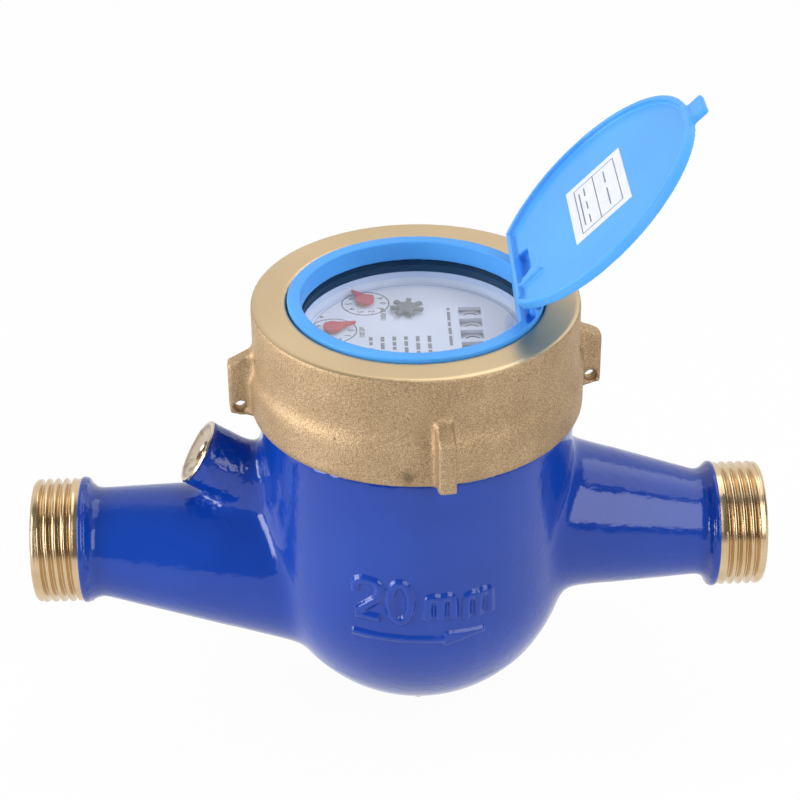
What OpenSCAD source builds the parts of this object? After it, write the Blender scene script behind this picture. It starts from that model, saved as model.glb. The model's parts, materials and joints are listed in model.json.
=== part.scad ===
// Multi-jet water meter for a 20 mm pipe, with a magnetic drive and a dry register.
// Origin: centre of the inlet end face. X along the flow, Z up, millimetres.

/* [Body] */
// Length between the two pipe faces
body_len = 195; // [185:1:210]
// Meter axis, measured from the inlet face
meter_x = 102.5; // [98:0.5:106]
// Crest radius of the pipe threads (1 inch parallel)
thread_r = 16.62; // [16:0.01:18]
// Length of each pipe thread
thread_len = 12.5; // [10:0.5:14]
// Radius of the water way at both ends
bore_r = 10; // [8:0.25:11]
// Step from the threaded collar out to the bowl
bowl_step = 2.5; // [1.5:0.1:3.5]
// Wall of the bowl
bowl_wall = 3.6; // [3:0.1:4]
// Wall of the necks
neck_wall = 4; // [3:0.1:5]
// Height of the centre of the round bottom
bowl_z = -4.5; // [-7:0.5:-3]
// Radius of the neck beside each collar
neck_r = 14; // [13:0.25:15]
// Growth of the neck radius towards the bowl
neck_flare = 9; // [6:0.5:10]
// Drop of the inlet neck and rise of the outlet neck
neck_shift = 8.2; // [4:0.1:9]
// Length of the pip under the bowl
pip_len = 12; // [4:0.5:14]

/* [Regulator] */
// Outside radius of the regulator boss
boss_r = 9; // [7.5:0.25:10]
// Slope of the boss axis above the pipe axis
boss_slope = 31.8; // [26:0.5:36]
// Reach of the boss face beyond the bowl
boss_reach = 17; // [15:0.5:19]
// Height of the boss face centre
boss_z = 27.3; // [24:0.1:28]
// Thread radius of the regulator screw
screw_r = 3.4; // [2.8:0.1:4]

/* [Cap ring] */
// Height of the ring top above the pipe axis
ring_top = 72; // [71:0.25:74]
// Height of the ring
ring_h = 30.1; // [28:0.1:31]
// Wall of the ring over its thread
ring_wall = 3.4; // [2.5:0.1:5]
// Extra radius of the lower band
ring_step = 1.2; // [0.5:0.1:2]
// Outside radius over the lugs
lug_r = 48.7; // [46:0.1:51]
// Thickness of a lug
lug_t = 4.4; // [3:0.1:6]
// Turn of the lugs about the meter axis
lug_turn = 7; // [0:1:20]

/* [Lid] */
// Outside radius of the lid and its frame
lid_r = 32.7; // [29:0.1:36]
// Width of the frame flange under the ring lip
flange_w = 3.8; // [3:0.1:5]
// Wall of the frame tube
frame_wall = 3.4; // [2.5:0.1:4]
// Height of the frame rim above the ring top
frame_rise = 0.8; // [0.3:0.1:1.5]
// Thickness of the lid
lid_h = 2.7; // [2.5:0.1:4]
// Thickness of the lid floor
lid_floor = 1.3; // [1:0.1:1.6]
// Hinge axis, distance inside the lid edge
hinge_in = 5.8; // [5:0.1:7]
// Hinge axis, height above the frame rim
hinge_rise = 4.2; // [3.9:0.1:5]
// Radius of the hinge pin
hinge_pin_r = 0.8; // [0.6:0.05:1]
// Opening angle of the lid as drawn
lid_open = 135; // [0:1:135]

/* [Register] */
// Thickness of the glass
glass_t = 4; // [3:0.25:5]
// Thickness of the gasket under the glass
gasket_t = 2; // [1.5:0.1:2.2]
// Thickness of the dial plate
dial_t = 1; // [0.8:0.1:1.2]
// Direction of the first pointer
pointer_turn = 125.9; // [120:0.5:130]
// Height of the register case
case_h = 26.3; // [26:0.1:32]
// Radius of the gear arbors
arbor_r = 0.6; // [0.5:0.05:0.7]

/* [Fits] */
// Radial running clearance of arbors and pins
run_gap = 0.05; // [0.02:0.01:0.08]
// Clearance between assembled pieces
loose_gap = 0.3; // [0.3:0.05:0.5]

/* [Hidden] */
$fn = 96;
eps = 0.01;

// Radii, from the lid out to the bowl
tube_in = lid_r - frame_wall;
stack_r = lid_r + flange_w;
thread_in = stack_r + 2.1;
ring_r = thread_in + ring_wall;
collar_out = thread_in - 0.1;
bowl_r = collar_out + bowl_step;
bowl_in = bowl_r - bowl_wall;
collar_in = collar_out - 4.4;
seat_r = collar_in - 2;
shelf_r = seat_r - 4.6;
case_r = collar_in - loose_gap;
case_in = case_r - 1.2;
view_r = tube_in + 0.2;
dial_r = tube_in - 1.1;
hinge_x = lid_r - hinge_in;
lug_mid = (ring_r + ring_step + lug_r) / 2;
wire_r = 0.29 * (lug_r - ring_r - ring_step);
lug_foot = 1.6;

// Height levels, from the ring top down to the shelf in the bowl
lip_t = 2.7;
flange_t = 2;
bezel_t = 4.3;
plate_t = 6;
shelf_half = 3;
ring_bot = ring_top - ring_h;
lip_z = ring_top - lip_t;
glass_top = lip_z - flange_t;
glass_z = glass_top - glass_t;
gasket_z = glass_z - gasket_t;
bezel_z = gasket_z - bezel_t;
collar_top = bezel_z;
case_z = bezel_z - case_h;
seat_z = case_z - plate_t;
rim_z = ring_top + frame_rise;
hinge_z = rim_z + hinge_rise;
lid_gap = 0.2;
lid_z = rim_z + lid_gap;

// Necks and passages
x_in = -meter_x;
x_out = body_len - meter_x;
collar_w = 2;
neck_x = thread_len + collar_w + 0.4;
neck_end = bowl_r - 11;
bore_turn = thread_len + 9;
boss_x = bowl_r + boss_reach;
pip_r = 5.2;
dish_r = boss_r - 1.2;
dish_t = 1.6;
port_in_z = -shelf_half - bore_r - 1.5;
port_out_z = (shelf_half + seat_z - 4) / 2;
bypass_r = 2;

// Measuring chamber
ch_r = shelf_r - 0.4;
ch_wall = 1.8;
ch_bot = bowl_z - sqrt(bowl_in * bowl_in - ch_r * ch_r) + 5.5;
ch_flange = seat_r - 0.4;
screen_r = ch_r + 2.4;
screen_bot = ch_bot + 3;
imp_r = ch_r - ch_wall - 2.6;
imp_bot = ch_bot + 5;
imp_top = seat_z - 10;
mag_r = 8;
pivot_r = 0.8;

// Dial, hands and number drums
dial_z = bezel_z + 0.4;
dial_top = dial_z + dial_t;
hand_z = dial_top + 0.8;
hand_t = 0.8;
drum_r = dial_r * 0.2553;
drum_pitch = dial_r * 0.2163;
drum_x = dial_r * 0.5142;
drum_z = dial_z - loose_gap - drum_r;
drum_w = drum_pitch - 0.4;
shaft_r = 1;
side_y = 2.5 * drum_pitch + 1.4;
window_l = dial_r * 0.2092;
window_w = drum_pitch * 0.72;

// Gear train: module, tooth counts and levels
pointer_ring = dial_r * 0.766;
gm = pointer_ring / 43.2;
lash = 0.28 * gm;
n_c = 10;
n_s = 42;
n_sp = 10;
n_1 = 37;
n_p = 9;
n_i = 30;
n_w = 27;
gear_t = 1.2;
floor_t = 1.3;
mid_t = 1.2;
top_t = 1;
plate_gap = 0.8;
low_z = case_z + floor_t;
mid_z = drum_z - drum_r - plate_gap - mid_t;
top_z = bezel_z - 2.9;
layer_0 = mid_z + mid_t + plate_gap;
layer_d = (top_z - layer_0 - 2 * gear_t) / 5;
hole_r = arbor_r + run_gap;

// Two gear layers and the magnet share the room under the lower plate
low_room = mid_z - low_z;
mag_t = low_room * 0.345;
low_a = low_z + low_room * 0.483;
low_b = low_z + low_room * 0.713;

// Positions of the arbors on the dial
function polar(r, a) = [r * cos(a), r * sin(a)];
function gap_d(a, b) = gm * (a + b) / 2;
function meet(p, q, rp, rq, side) =
  let(v = q - p, d = norm(v), k = (d * d + rp * rp - rq * rq) / (2 * d))
  let(h = sqrt(max(0, rp * rp - k * k)), u = v / d)
  p + k * u + side * h * [-u[1], u[0]];
p_1 = polar(pointer_ring, pointer_turn);
p_2 = polar(pointer_ring, pointer_turn + 45);
p_3 = polar(pointer_ring, pointer_turn + 90);
p_4 = polar(pointer_ring, pointer_turn + 135);
p_c = [0, 0];
p_s = meet(p_c, p_1, gap_d(n_c, n_s), gap_d(n_sp, n_1), -1);
i_1 = meet(p_1, p_2, gap_d(n_p, n_i), gap_d(n_p, n_w), 1);
i_2 = meet(p_2, p_3, gap_d(n_p, n_i), gap_d(n_p, n_w), 1);
i_3 = meet(p_3, p_4, gap_d(n_p, n_i), gap_d(n_p, n_w), 1);
pillar_r = case_in - 3.3;
pillars = [polar(pillar_r, pointer_turn + 22.5), polar(pillar_r, pointer_turn + 112.5), [5 * gm, 4 * gm]];

// Involute gear outline
function inv(a) = tan(a) * 180 / PI - a;
function psi(r, rb, half) = half + inv(20) - (r > rb ? inv(acos(rb / r)) : 0);
function tooth(z) =
  let(rp = gm * z / 2, rb = rp * cos(20), ra = rp + 0.8 * gm, rr = rp - 1.25 * gm)
  let(half = (PI * gm / 2 - lash) / (2 * rp) * 180 / PI)
  let(r0 = max(rb, rr + 0.02), rm = (max(rb, rr + 0.02) + ra) / 2)
  let(a0 = psi(r0, rb, half), am = psi(rm, rb, half), aa = psi(ra, rb, half))
  [[rr, -a0], [r0, -a0], [rm, -am], [ra, -aa], [ra, aa], [rm, am], [r0, a0], [rr, a0]];
function outline(z, turn) = [for (i = [0:z - 1], t = tooth(z)) polar(t[0], t[1] + 360 * i / z + turn)];
function way(p, q) = atan2(q[1] - p[1], q[0] - p[0]);

module gear(z, turn, z0, h) {
  translate([0, 0, z0])
    linear_extrude(h)
      polygon(outline(z, turn));
}

module rod(r, z0, z1) {
  translate([0, 0, z0])
    cylinder(r = r, h = z1 - z0);
}

module tube(ro, ri, z0, z1) {
  difference() {
    rod(ro, z0, z1);
    rod(ri, z0 - 1, z1 + 1);
  }
}

module at(p) {
  translate([p[0], p[1], 0])
    children();
}

// Everything on the meter axis is drawn about x = 0 and moved here
module on_axis() {
  translate([meter_x, 0, 0])
    children();
}

module along_x(x, z = 0) {
  translate([x, 0, z])
    rotate([0, 90, 0])
      children();
}

// A cone or cylinder between two points of the upright middle plane
module limb(xa, za, ra, xb, zb, rb) {
  len = norm([xb - xa, zb - za]);
  translate([xa, 0, za])
    rotate([0, atan2(xb - xa, zb - za), 0])
      cylinder(r1 = ra, r2 = rb, h = len);
}

// The boss axis, drawn from its face inwards along +Z
module on_boss() {
  translate([-boss_x, 0, boss_z])
    rotate([0, 90 + boss_slope, 0])
      children();
}

// Body casting
module bowl_outer() {
  rotate_extrude()
    union() {
      translate([0, bowl_z])
        square([bowl_r, ring_bot - loose_gap - bowl_z]);
      square([collar_out, collar_top]);
      intersection() {
        translate([0, bowl_z])
          circle(r = bowl_r);
        translate([0, bowl_z - bowl_r])
          square([bowl_r, bowl_r + 1]);
      }
    }
}

module bowl_inner() {
  rotate_extrude()
    union() {
      intersection() {
        translate([0, bowl_z])
          circle(r = bowl_in);
        translate([0, bowl_z - bowl_r])
          square([bowl_r, bowl_r - bowl_z - shelf_half]);
      }
      translate([0, -shelf_half - 1])
        square([shelf_r, 2 * shelf_half + 2]);
      translate([0, shelf_half])
        square([bowl_in, seat_z - shelf_half - 4]);
      translate([0, seat_z - 5])
        square([seat_r, 6]);
      translate([0, seat_z])
        square([collar_in, collar_top - seat_z + 1]);
    }
}

// Tapered necks, thinned all round by the wall when they are cut out
module inlet_neck(wall) {
  limb(x_in + neck_x - 1, 0, neck_r - wall, -neck_end, -neck_shift, neck_r + neck_flare - wall);
}

module outlet_neck(wall) {
  foot_r = neck_r + neck_flare - 0.7;
  limb(x_out - neck_x + 1, 0, neck_r - 0.4 - wall, neck_end, neck_shift * 0.78, foot_r - wall);
}

module box_x(x0, x1) {
  translate([x0, -bowl_r, -bowl_r])
    cube([x1 - x0, 2 * bowl_r, 2 * bowl_r]);
}

module body() {
  color([0.16, 0.28, 0.66])
    on_axis()
      difference() {
        union() {
          bowl_outer();
          along_x(x_in)
            cylinder(r = thread_r, h = neck_x);
          along_x(x_in + thread_len)
            cylinder(r = thread_r + 0.3, h = collar_w);
          along_x(x_out - neck_x)
            cylinder(r = thread_r, h = neck_x);
          along_x(x_out - thread_len - collar_w)
            cylinder(r = thread_r + 0.3, h = collar_w);
          inlet_neck(0);
          outlet_neck(0);
          on_boss()
            cylinder(r = boss_r, h = boss_reach + 13);
          translate([0, 0, bowl_z - bowl_r - pip_len])
            cylinder(r1 = 0.8, r2 = pip_r, h = pip_r);
          translate([0, 0, bowl_z - bowl_r - pip_len + pip_r])
            cylinder(r = pip_r, h = pip_len - pip_r + 2);
        }
        bowl_inner();
        along_x(x_in - 1)
          cylinder(r = bore_r, h = bore_turn + 1);
        intersection() {
          inlet_neck(neck_wall);
          box_x(x_in + bore_turn - 1, -bowl_r - 2);
        }
        along_x(-bowl_r - 3, port_in_z)
          cylinder(r = bore_r, h = bowl_r - shelf_r);
        along_x(x_out - bore_turn)
          cylinder(r = bore_r, h = bore_turn + 1);
        intersection() {
          outlet_neck(neck_wall);
          box_x(bowl_r + 2, x_out - bore_turn + 1);
        }
        along_x(shelf_r + 3, port_out_z)
          cylinder(r = bore_r - 1.2, h = bowl_r - shelf_r);
        on_boss()
          translate([0, 0, -1])
            cylinder(r = screw_r + run_gap, h = 15);
        on_boss()
          translate([0, 0, -dish_t])
            cylinder(r1 = 2 * dish_r - screw_r, r2 = screw_r, h = 2 * dish_t);
        on_boss()
          cylinder(r = bypass_r, h = boss_reach + 14);
        limb(12.3 - boss_x, boss_z - 7.6, bypass_r, 8 - boss_x, 0, bypass_r);
      }
}

// Cap ring with four lugs
module lug() {
  lug_top = ring_bot + ring_h * 0.631;
  translate([0, lug_t / 2, 0])
    rotate([90, 0, 0])
      linear_extrude(lug_t)
        polygon([[thread_in + 1, ring_bot], [ring_r + 1, ring_bot], [lug_r, ring_bot + lug_foot],
          [lug_r, lug_top - 3.4], [ring_r, lug_top], [thread_in + 1, lug_top]]);
}

module cap_ring() {
  band = ring_bot + ring_h * 0.42;
  color([0.72, 0.58, 0.38])
    on_axis()
      difference() {
        union() {
          rotate_extrude()
            polygon([[0, ring_bot], [ring_r + ring_step - 1, ring_bot], [ring_r + ring_step, ring_bot + 1],
              [ring_r + ring_step, band - 1], [ring_r, band + 1], [ring_r, ring_top - 0.6],
              [ring_r - 0.6, ring_top], [0, ring_top]]);
          for (i = [0:3])
            rotate([0, 0, lug_turn + 90 * i])
              lug();
        }
        rod(thread_in, ring_bot - 1, collar_top + 0.3);
        rod(stack_r + 0.4, ring_bot, lip_z);
        rod(lid_r + 0.3, ring_bot, ring_top + 1);
        for (i = [0, 2])
          rotate([0, 0, lug_turn + 90 * i])
            translate([lug_mid, 0, ring_bot + lug_foot + 0.2 + wire_r])
              rotate([90, 0, 0])
                cylinder(r = wire_r, h = lug_t + 2, center = true);
      }
}

// Lid frame: tube, flange under the ring lip, hinge wall and two ears behind the lid
chord = hinge_x - 1.4;
ear_in = round(lid_r * 2.45) / 10;
ear_w = round(lid_r * 0.98) / 10;
ear_r = hinge_pin_r + 0.7;
ear_t = 1.6;
ear_x = 1.3;
well_z = rim_z - 2.2;

module lid_frame() {
  color([0.35, 0.66, 0.98])
    on_axis()
      difference() {
        union() {
          difference() {
            union() {
              tube(lid_r, tube_in, glass_top, rim_z);
              tube(stack_r, tube_in, glass_top, lip_z);
              intersection() {
                rod(lid_r - 0.5, glass_top, rim_z);
                translate([chord, -lid_r, glass_top])
                  cube([lid_r, 2 * lid_r, rim_z - glass_top]);
              }
            }
            intersection() {
              rod(lid_r - 0.7, well_z, rim_z + 1);
              translate([hinge_x, -lid_r, well_z])
                cube([lid_r, 2 * lid_r, lid_r]);
            }
          }
          intersection() {
            rod(lid_r - 0.1, glass_top + 1, hinge_z + 9);
            for (s = [-1, 1])
              translate([hinge_x, s * (ear_in + ear_w / 2), hinge_z])
                ear();
          }
        }
        translate([hinge_x, 0, hinge_z])
          rotate([90, 0, 0])
            cylinder(r = hinge_pin_r, h = 2 * lid_r, center = true);
      }
}

module ear() {
  foot = glass_top + 1.2 - hinge_z;
  rotate([90, 0, 0])
    union() {
      cylinder(r = ear_r, h = ear_w, center = true);
      linear_extrude(ear_w, center = true)
        polygon([[0, -1.1], [ear_x, -1.1], [ear_x, foot], [ear_x + ear_t, foot],
          [ear_x + ear_t, 0.3], [ear_x + ear_t - 0.6, 0.9], [0, 0.9]]);
    }
}

module hinge_pin() {
  color([0.7, 0.7, 0.72])
    on_axis()
      translate([hinge_x, 0, hinge_z])
        rotate([90, 0, 0])
          cylinder(r = hinge_pin_r, h = 2 * (ear_in + ear_w), center = true);
}

// Lid, drawn closed and then swung open about the hinge axis
module swung() {
  translate([hinge_x, 0, hinge_z])
    rotate([0, lid_open, 0])
      translate([-hinge_x, 0, -hinge_z])
        children();
}

module at_hinge() {
  translate([hinge_x, 0, hinge_z])
    rotate([90, 0, 0])
      children();
}

// The knuckle is a hump on the outside, and a pocket with a wedge rib beside it shows inside
module lid() {
  edge = hinge_x + 0.1;
  knuckle = 2 * ear_in - 1;
  edge_half = sqrt(lid_r * lid_r - edge * edge) - 1.9;
  floor_z = lid_z + lid_h - lid_floor;
  hump_x = hinge_x - 5.9;
  hump_top = hinge_z + 0.7;
  pocket = knuckle / 2 - 1.4;
  color([0.35, 0.66, 0.98])
    on_axis()
      swung()
        difference() {
          union() {
            difference() {
              rod(lid_r, lid_z, lid_z + lid_h);
              rod(lid_r - 1.4, lid_z - 1, floor_z);
              translate([edge, -lid_r, lid_z - 1])
                cube([lid_r, 2 * lid_r, lid_h + 2]);
            }
            translate([-lid_r - 4.2, -4.2, lid_z + lid_h - 1.8])
              cube([6, 8.4, 1.8]);
            translate([edge - 1.4, -edge_half, lid_z])
              cube([1.4, 2 * edge_half, lid_h]);
            at_hinge()
              cylinder(r = hinge_pin_r + 1.4, h = knuckle, center = true);
            translate([hump_x, -knuckle / 2, floor_z + 0.2])
              cube([hinge_x - hump_x - 0.2, knuckle, hump_top - floor_z - 0.2]);
            translate([0, 0, floor_z - 1])
              linear_extrude(1.4)
                polygon([[edge - 0.7, -ear_in - 3.5], [edge - 0.7, -ear_in - 2.7], [edge - 6, 1 - ear_in],
                  [edge - 8.8, -ear_in - 3]]);
          }
          at_hinge()
            cylinder(r = hinge_pin_r + run_gap, h = 2 * lid_r, center = true);
          translate([hump_x + 1, -pocket, lid_z - 1])
            cube([3.4, 2 * pocket, hump_top - 1 - lid_z + 1]);
          for (s = [-1, 1])
            translate([0, s * (ear_in + ear_w / 2), 0])
              at_hinge()
                cylinder(r = ear_r + loose_gap, h = ear_w + 2 * loose_gap, center = true);
        }
}

module lid_label() {
  label_w = lid_r * 0.5566;
  label_l = lid_r * 0.8563;
  label_t = 0.15;
  color([0.95, 0.95, 0.97])
    on_axis()
      swung()
        translate([-2 - label_w / 2, -label_l / 2, lid_z + lid_h - lid_floor - label_t])
          cube([label_w, label_l, label_t]);
}

// Glass, gasket, bezel and dial
module glass() {
  color([0.85, 0.92, 0.95, 0.3])
    on_axis()
      rod(stack_r, glass_z, glass_top);
}

module glass_gasket() {
  color([0.05, 0.05, 0.06])
    on_axis()
      tube(stack_r, view_r, gasket_z, glass_z);
}

module register_bezel() {
  color([0.93, 0.94, 0.97])
    on_axis()
      difference() {
        rod(stack_r, bezel_z, gasket_z);
        rod(dial_r + 0.2, dial_z, dial_top + 0.6);
        translate([0, 0, dial_top])
          cylinder(r1 = dial_r + 0.2, r2 = view_r - 0.2, h = gasket_z - dial_top + 0.01);
        rod(dial_r - 1, bezel_z - 1, gasket_z);
      }
}

module dial_plate() {
  color([0.94, 0.95, 0.98])
    on_axis()
      difference() {
        rod(dial_r, dial_z, dial_top);
        for (p = [p_1, p_2, p_3, p_4, p_s])
          at(p)
            rod(arbor_r + loose_gap, dial_z - 1, dial_top + 1);
        for (i = [-2:2])
          translate([drum_x - window_l / 2, i * drum_pitch - window_w / 2, dial_z - 1])
            cube([window_l, window_w, dial_t + 2]);
      }
}

// Register case with three posts for the lower gear plate
module register_case() {
  color([0.9, 0.91, 0.94])
    on_axis()
      difference() {
        union() {
          tube(case_r, case_in, case_z, bezel_z);
          rod(case_r - 0.5, case_z, low_z);
          for (a = [20, 70, 195, 290])
            at(polar(case_in - 0.9, a))
              rod(1.5, case_z, mid_z);
          for (p = [p_s, p_1])
            at(p)
              rod(2, case_z, low_z + 2);
        }
        for (p = [p_s, p_1])
          at(p)
            rod(hole_r, low_z, low_z + 3);
        rod(hole_r, low_z - 0.7, low_z + 1);
      }
}

module gear_plate_lower() {
  color([0.85, 0.86, 0.88])
    on_axis()
      difference() {
        union() {
          rod(case_in - loose_gap, mid_z, mid_z + mid_t);
          for (s = [-1, 1])
            translate([drum_x - 3.5, s * side_y - 0.9, mid_z])
              cube([7, 1.8, drum_z - mid_z + 3]);
        }
        for (p = [p_1, p_2, p_3, p_4, p_s, p_c, i_1, i_2, i_3])
          at(p)
            rod(hole_r, mid_z - 1, mid_z + mid_t + 1);
        translate([drum_x, 0, drum_z])
          rotate([90, 0, 0])
            cylinder(r = shaft_r, h = 2 * case_r, center = true);
      }
}

module gear_plate_upper() {
  color([0.85, 0.86, 0.88])
    on_axis()
      difference() {
        rod(pillar_r + 1.6, top_z, top_z + top_t);
        translate([drum_x - drum_r - 1, -case_r, top_z - 1])
          cube([2 * case_r, 2 * case_r, top_t + 2]);
        for (p = [p_1, p_2, p_3, p_4, p_s, i_1, i_2, i_3])
          at(p)
            rod(hole_r, top_z - 1, top_z + top_t + 1);
      }
}

module plate_pillars() {
  color([0.8, 0.66, 0.36])
    on_axis()
      for (p = pillars)
        at(p)
          rod(1.2, mid_z + mid_t, top_z);
}

// Wet side: pressure plate, seal, chamber halves, strainer, pivot
module pressure_plate() {
  color([0.25, 0.26, 0.28])
    on_axis()
      difference() {
        rod(collar_in - 0.1, seat_z, case_z);
        rod(mag_r + 1.2, seat_z - 1, case_z - 2);
        tube(collar_in + 1, collar_in - 2.4, seat_z + 2, seat_z + 4.4);
      }
}

module plate_seal() {
  color([0.08, 0.08, 0.09])
    on_axis()
      rotate_extrude()
        translate([collar_in - 1.22, seat_z + 3.2])
          circle(r = 1.15);
}

module ports(z0, h, lean) {
  for (i = [0:9])
    rotate([0, 0, 36 * i])
      translate([ch_r - 5, 0, z0])
        rotate([0, 0, lean])
          translate([0, -1.6, 0])
            cube([14, 3.2, h]);
}

module chamber_lower() {
  color([0.88, 0.88, 0.85])
    on_axis()
      difference() {
        union() {
          rod(ch_r, ch_bot, shelf_half + 2);
          rod(ch_flange, shelf_half, shelf_half + 2);
        }
        rod(ch_r - ch_wall, ch_bot + 2, shelf_half + 3);
        rod(pivot_r, ch_bot + 0.5, ch_bot + 3);
        ports(imp_bot + 2, 9, 50);
      }
}

module chamber_upper() {
  z0 = shelf_half + 2;
  color([0.88, 0.88, 0.85])
    on_axis()
      difference() {
        union() {
          rod(ch_r, z0, seat_z);
          rod(ch_flange, z0, z0 + 2);
        }
        rod(ch_r - ch_wall, z0 - 1, imp_top + 2);
        rod(ch_r - ch_wall, imp_top + 4.4, seat_z + 1);
        rod(2.5 + loose_gap, z0, seat_z);
        ports(z0 + 3, imp_top - z0 - 4, -50);
      }
}

module strainer() {
  color([0.92, 0.9, 0.8])
    on_axis()
      difference() {
        union() {
          tube(screen_r, screen_r - 1, screen_bot, -shelf_half);
          tube(screen_r, ch_r + 0.1, screen_bot, screen_bot + 1);
        }
        for (i = [0:35])
          rotate([0, 0, 10 * i])
            translate([ch_r, -0.9, screen_bot + 2.5])
              cube([6, 1.8, -shelf_half - screen_bot - 5]);
      }
}

module pivot_pin() {
  color([0.75, 0.76, 0.78])
    on_axis()
      rod(pivot_r, ch_bot + 0.5, imp_bot + 3);
}

// Impeller with its drive magnet
module impeller() {
  color([0.9, 0.9, 0.92])
    on_axis()
      difference() {
        union() {
          rod(4.5, imp_bot, imp_top);
          rod(2.5, imp_top - 1, imp_top + 7.6);
          for (i = [0:8])
            rotate([0, 0, 40 * i])
              translate([0, -0.6, imp_bot + 1])
                cube([imp_r, 1.2, imp_top - imp_bot - 2]);
        }
        rod(pivot_r + run_gap, imp_bot - 1, imp_bot + 3);
      }
}

module drive_magnet() {
  color([0.25, 0.25, 0.27])
    on_axis()
      rod(mag_r, imp_top + 7.6, case_z - 2.6);
}

// Gear arbors, from the centre to the last pointer
module centre_arbor() {
  color([0.82, 0.68, 0.36])
    on_axis()
      union() {
        rod(arbor_r, low_z - 0.6, mid_z + mid_t);
        gear(n_c, way(p_c, p_s), low_a, gear_t);
      }
}

module follower_magnet() {
  color([0.25, 0.25, 0.27])
    on_axis()
      tube(mag_r, hole_r, low_z + 0.4, low_z + 0.4 + mag_t);
}

module star_arbor() {
  color([0.82, 0.68, 0.36])
    on_axis()
      at(p_s)
        union() {
          rod(arbor_r, low_z + 0.1, hand_z);
          gear(n_s, way(p_s, p_c) + 180 / n_s, low_a, gear_t);
          gear(n_sp, way(p_s, p_1), low_b, gear_t);
        }
}

module star() {
  color([0.55, 0.58, 0.62])
    on_axis()
      at(p_s)
        translate([0, 0, hand_z])
          linear_extrude(hand_t)
            polygon([for (i = [0:13]) polar(dial_r * (i % 2 == 0 ? 0.174 : 0.075), 180 / 7 * i + 4)]);
}

// One pointer arbor: a wheel on one level and a pinion on another
module pointer_arbor(p, foot, wheel, from, wheel_z, to, pinion_z) {
  color([0.82, 0.68, 0.36])
    on_axis()
      at(p)
        union() {
          rod(arbor_r, foot, hand_z);
          gear(wheel, way(p, from) + 180 / wheel, wheel_z, gear_t);
          if (norm(to - p) > 0)
            gear(n_p, way(p, to), pinion_z, gear_t);
        }
}

function layer(k) = layer_0 + layer_d * k;

module pointer_arbor_1() pointer_arbor(p_1, low_z + 0.1, n_1, p_s, low_b, i_1, layer(0));
module pointer_arbor_2() pointer_arbor(p_2, mid_z, n_w, i_1, layer(1), i_2, layer(2));
module pointer_arbor_3() pointer_arbor(p_3, mid_z, n_w, i_2, layer(3), i_3, layer(4));
module pointer_arbor_4() pointer_arbor(p_4, mid_z, n_w, i_3, layer(5), p_4, layer(5));

module idler(p, from, wheel_z, to, pinion_z) {
  color([0.82, 0.68, 0.36])
    on_axis()
      at(p)
        union() {
          rod(arbor_r, mid_z, top_z + top_t);
          gear(n_i, way(p, from) + 180 / n_i, wheel_z, gear_t);
          gear(n_p, way(p, to), pinion_z, gear_t);
        }
}

module idler_1() idler(i_1, p_1, layer(0), p_2, layer(1));
module idler_2() idler(i_2, p_2, layer(2), p_3, layer(3));
module idler_3() idler(i_3, p_3, layer(4), p_4, layer(5));

// Red pointers on the arbors
module pointer(p, turn) {
  hub = dial_r * 0.085;
  color([0.85, 0.12, 0.14])
    on_axis()
      at(p)
        translate([0, 0, hand_z])
          union() {
            cylinder(r = hub, h = hand_t);
            linear_extrude(hand_t)
              polygon([polar(hub - 0.2, turn + 40), polar(hub * 2.67, turn), polar(hub - 0.2, turn - 40)]);
          }
}

module pointer_1() pointer(p_1, 125);
module pointer_2() pointer(p_2, 20);
module pointer_3() pointer(p_3, 310);
module pointer_4() pointer(p_4, 60);

// Number drums and their shaft
module drum(i) {
  color([0.95, 0.95, 0.96])
    on_axis()
      translate([drum_x, (3 - i) * drum_pitch, drum_z])
        rotate([90, 0, 0])
          difference() {
            cylinder(r = drum_r, h = drum_w, center = true);
            cylinder(r = shaft_r + run_gap, h = drum_w + 1, center = true);
            for (s = [-1, 1])
              translate([0, 0, s * drum_w / 2])
                difference() {
                  cylinder(r = drum_r - 1, h = 3.6, center = true);
                  cylinder(r = shaft_r + 1.4, h = 3.6, center = true);
                }
          }
}

module drum_1() drum(1);
module drum_2() drum(2);
module drum_3() drum(3);
module drum_4() drum(4);
module drum_5() drum(5);

module drum_shaft() {
  color([0.75, 0.76, 0.78])
    on_axis()
      translate([drum_x, 0, drum_z])
        rotate([90, 0, 0])
          cylinder(r = shaft_r, h = 2 * side_y + 1.8, center = true);
}

// Regulator screw in the side boss, with its seal ring
module regulator_screw() {
  color([0.75, 0.6, 0.35])
    on_axis()
      on_boss()
        difference() {
          union() {
            translate([0, 0, 2])
              cylinder(r = screw_r, h = 10);
            translate([0, 0, 11.9])
              cylinder(r1 = 1.8, r2 = 0.8, h = 3.5);
          }
          translate([-0.5, -screw_r - 1, 1])
            cube([1, 2 * screw_r + 2, 2.2]);
          translate([0, 0, 9])
            tube(screw_r + 1, screw_r - 1.1, 0, 1.8);
        }
}

module regulator_seal() {
  color([0.08, 0.08, 0.09])
    on_axis()
      on_boss()
        translate([0, 0, 9.9])
          rotate_extrude()
            translate([screw_r - 0.5, 0])
              circle(r = 0.5);
}

body();
cap_ring();
lid_frame();
hinge_pin();
lid();
lid_label();
glass();
glass_gasket();
register_bezel();
dial_plate();
register_case();
gear_plate_lower();
gear_plate_upper();
plate_pillars();
pressure_plate();
plate_seal();
chamber_upper();
chamber_lower();
strainer();
pivot_pin();
impeller();
drive_magnet();
follower_magnet();
centre_arbor();
star_arbor();
star();
pointer_arbor_1();
pointer_arbor_2();
pointer_arbor_3();
pointer_arbor_4();
pointer_1();
pointer_2();
pointer_3();
pointer_4();
idler_1();
idler_2();
idler_3();
drum_shaft();
drum_1();
drum_2();
drum_3();
drum_4();
drum_5();
regulator_screw();
regulator_seal();
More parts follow.
